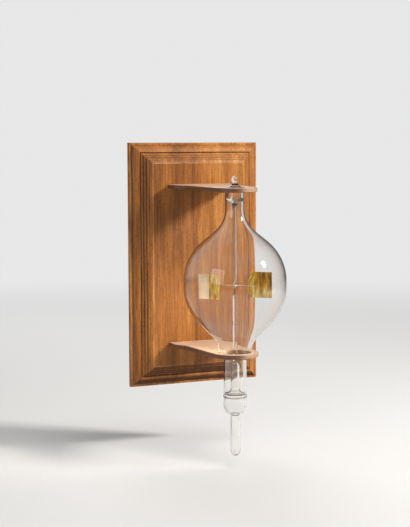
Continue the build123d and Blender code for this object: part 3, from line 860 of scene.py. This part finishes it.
class VanePlane:
    # Places of one vane: along the arm, across the plate, and share of the height
    def __init__(self, side):
        self.size = vaneSizes[side]
        low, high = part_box(side + "_vane_plate")
        self.outward = Vector(((low.x + high.x) / 2, (low.y + high.y) / 2, 0)) - axisPoint
        self.outward.normalize()
        self.across = Vector((-self.outward.y, self.outward.x, 0))
        plate = nodes[side + "_vane_plate"].data.vertices
        self.half = max((Vector((v.co.x, v.co.y, 0)) - axisPoint).dot(self.across) for v in plate)
        middle = (low.z + high.z) / 2 + self.size["rise"]
        self.low, self.high = middle - self.size["height"] / 2, middle + self.size["height"] / 2

    def top(self, along):
        # The inner upper corner can be cut off
        size = self.size
        if not size["cutWidth"]:
            return self.high
        return self.high - size["cutHeight"] * max(0.0, 1 - (along - size["inner"]) / size["cutWidth"])

    def at(self, along, off, share):
        inner, outer = self.size["inner"], self.size["outer"]
        leaning = self.size["lean"] * (1 - share) * max(0.0, along - inner) / (outer - inner)
        height = self.low + (self.top(along) - self.low) * share
        return axisPoint + self.outward * (along - leaning) + self.across * off + Vector((0, 0, height))


def sheetMesh(name, rows):
    # Rows of points of equal length, joined by squares
    count = len(rows[0])
    faces = [(a, a + 1, a + 1 + count, a + count)
             for i in range(len(rows) - 1) for a in range(i * count, i * count + count - 1)]
    mesh = bpy.data.meshes.new(name)
    mesh.from_pydata([tuple(p) for row in rows for p in row], [], faces)
    return mesh


def makeVanePlate(side):
    plane = VanePlane(side)
    size = plane.size
    places = [size["inner"], size["inner"] + max(size["cutWidth"], 2 * mm), size["outer"]]
    rows = [[plane.at(along, 0, share) for share in (0, 1)] for along in places]
    piece = linked(side + "_mica_plate", sheetMesh(side + "_mica_plate", rows))
    piece.data.materials.append(mica)
    thickened(piece, 2 * plane.half)
    standsFor(piece, "rotor", "vane_mica", side + "_vane_plate")


def makeFoilSheet(side):
    # In along the front, round the inner edge and a little way back along the rear
    size, plane = foilSizes, VanePlane(side)
    start, end, back = plane.size["inner"], plane.size["outer"], plane.size["return"]
    half = plane.half + size["gap"]
    count, backCount = round((end - start) / size["step"]), round(back / size["step"])
    path = [(end + (start - end) * i / count, -half) for i in range(count)]
    path += [(start - size["gap"] - half * math.sin(a) * size["foldBulge"], -half * math.cos(a))
             for a in (pi * i / 8 for i in range(9))]
    path += [(start + back * i / backCount, half) for i in range(1, backCount + 1)]
    rows = round(plane.size["height"] / size["step"])
    points = [[plane.at(along, off, j / rows) for j in range(rows + 1)] for along, off in path]
    values = {"Creasing": size["creasing"], "Crease width": size["creaseWidth"], "Seed": plane.size["seed"],
              "Material": foil}
    piece = creasingRule.run(side + "_foil_sheet", sheetMesh(side + "_foil", points), values)
    thickened(piece, size["thickness"])
    standsFor(piece, "rotor", "vane_foil", side + "_vane_foil")


def makeFoilCurl(side):
    # The cut corner of the foil is rolled forwards, tighter towards both ends
    size, plane = foilSizes, VanePlane(side)
    start, width = plane.size["inner"], plane.size["cutWidth"]
    off = -plane.half - size["gap"] - size["creasing"]
    slope = Vector((width, plane.size["cutHeight"])).normalized()
    away = plane.outward * -slope.y + Vector((0, 0, slope.x))
    rows = []
    for i in range(size["curlRows"] + 1):
        share = i / size["curlRows"]
        edge = plane.at(start + width * share, off, 1)
        tight = size["curl"] * (size["curlEnds"] + (1 - size["curlEnds"]) * math.sin(pi * share))
        turns = (size["curlTurn"] * j / size["curlSteps"] for j in range(size["curlSteps"] + 1))
        rows.append([edge - plane.across * tight * (1 - math.cos(a)) + away * tight * math.sin(a)
                     for a in turns])
    piece = linked(side + "_foil_curl", sheetMesh(side + "_foil_curl", rows))
    piece.data.materials.append(foil)
    piece.data.polygons.foreach_set("use_smooth", [True] * len(piece.data.polygons))
    thickened(piece, size["thickness"])
    standsFor(piece, "rotor", "vane_foil")


for side in vaneSizes:
    makeVanePlate(side)
    makeFoilSheet(side)
makeFoilCurl("right")
print("vanes made")


# Floor, light and camera
stageLook = {
    "floorColour": (0.60, 0.60, 0.60), "backColour": (0.80, 0.80, 0.80), "floorDrop": 12 * mm,
    "floorRadius": 14.0, "floorSides": 64, "fadeFrom": 0.35, "fadeTo": 1.8, "worldLight": 0.15,
}


def seenDirectly(tree):
    # 1 for what is seen straight or through glass, 0 for light that comes after a bounce
    path = tree.node("ShaderNodeLightPath").socket.node
    names = ("Is Camera Ray", "Is Transmission Ray", "Diffuse Depth", "Glossy Depth")
    straight, through, diffuse, glossy = [Wire(tree, path.outputs[name]) for name in names]
    return straight.most(through) * (1 - diffuse.least(1.0)) * (1 - glossy.least(1.0))


def makeFloor():
    # Far out the paper fades into the background
    look = stageLook
    height = cadBox[0].z - look["floorDrop"]
    mesh = bpy.data.meshes.new("floor")
    rim = arc(0, 0, look["floorRadius"], 0, 2 * pi, look["floorSides"])[:-1]
    mesh.from_pydata([(x, y, height) for x, y in rim], [], [tuple(range(look["floorSides"]))])
    floor = linked("floor", mesh)
    finish = Finish("floorPaper")
    reach = ((finish.x**2.0) + (finish.y**2.0))**0.5
    paper = finish.principled(colour=look["floorColour"], rough=0.85)
    glow = finish.node("ShaderNodeEmission", {}, {"Color": (*look["backColour"], 1.0), "Strength": 1.0})
    share = reach.ramp(look["fadeFrom"], look["fadeTo"]) * seenDirectly(finish)
    mesh.materials.append(finish.done(finish.blended(share, paper, glow)))


def makeWorld():
    world = bpy.data.worlds.new("studio")
    bpy.context.scene.world = world
    world.use_nodes = True
    sky = Tree(world.node_tree)
    lit = sky.node("ShaderNodeBackground", {}, {"Color": (1, 1, 1, 1), "Strength": stageLook["worldLight"]})
    backColour = (*stageLook["backColour"], 1.0)
    plain = sky.node("ShaderNodeBackground", {}, {"Color": backColour, "Strength": 1.0})
    surface = sky.node("ShaderNodeMixShader", {}, {0: seenDirectly(sky), 1: lit, 2: plain})
    sky.node("ShaderNodeOutputWorld", {}, {"Surface": surface})


lampTarget = (0, -0.06, -0.02)
lampLook = {
    "key": {"place": (1.15, -0.95, 0.84), "size": 0.26, "power": 41.0, "colour": (1.0, 0.97, 0.92),
            "reflected": True},
    "top": {"place": (0.25, -0.55, 1.45), "size": 0.6, "power": 9.0, "colour": (1.0, 0.98, 0.96),
            "reflected": False},
    "fill": {"place": (-1.3, -0.7, 0.35), "size": 0.8, "power": 6.0, "colour": (0.97, 0.98, 1.0),
             "reflected": True},
    "back": {"place": (0.2, 1.2, 0.7), "size": 0.7, "power": 8.0, "colour": (1.0, 1.0, 1.0),
             "reflected": True},
}


def makeLamps():
    # The top lamp lights the upper faces and leaves no reflection in the bulb
    for name, look in lampLook.items():
        lamp = bpy.data.lights.new(name, "AREA")
        lamp.energy, lamp.size, lamp.color = look["power"], look["size"], look["colour"]
        holder = linked(name, lamp)
        holder.visible_camera = holder.visible_transmission = False
        holder.visible_glossy = look["reflected"]
        holder.location = look["place"]
        view = Vector(lampTarget) - holder.location
        holder.rotation_euler = view.to_track_quat("-Z", "Y").to_euler()


cameraPlace = {
    "azimuth": -24.248, "elevation": 5.050, "roll": -0.215, "distance": 1.350547, "aim": (0, -0.05, 0),
    "slide": (0.007318, -0.003126), "focal": 1336.761, "frameHeight": 527.0, "sensor": 24.0,
}


def makeCamera():
    look = cameraPlace
    azimuth, elevation, roll = (math.radians(look[name]) for name in ("azimuth", "elevation", "roll"))
    back = Vector((math.sin(azimuth) * math.cos(elevation), -math.cos(azimuth) * math.cos(elevation),
                   math.sin(elevation)))
    level = Vector((0, 0, 1)).cross(back).normalized()
    upright = back.cross(level)
    right = level * math.cos(roll) + upright * math.sin(roll)
    up = upright * math.cos(roll) - level * math.sin(roll)
    place = Vector(look["aim"]) + back * look["distance"] - right * look["slide"][0] - up * look["slide"][1]
    camera = bpy.data.cameras.new("camera")
    camera.sensor_fit, camera.sensor_height = "VERTICAL", look["sensor"]
    camera.lens = look["focal"] / look["frameHeight"] * look["sensor"]
    camera.clip_start, camera.clip_end = 0.05, 60.0
    holder = linked("camera", camera)
    holder.matrix_world = Matrix.Translation(place) @ Matrix((right, up, back)).transposed().to_4x4()
    bpy.context.scene.camera = holder


makeFloor()
makeWorld()
makeLamps()
makeCamera()
bpy.context.scene.view_settings.view_transform = "Standard"
print("stage, lamps and camera set")
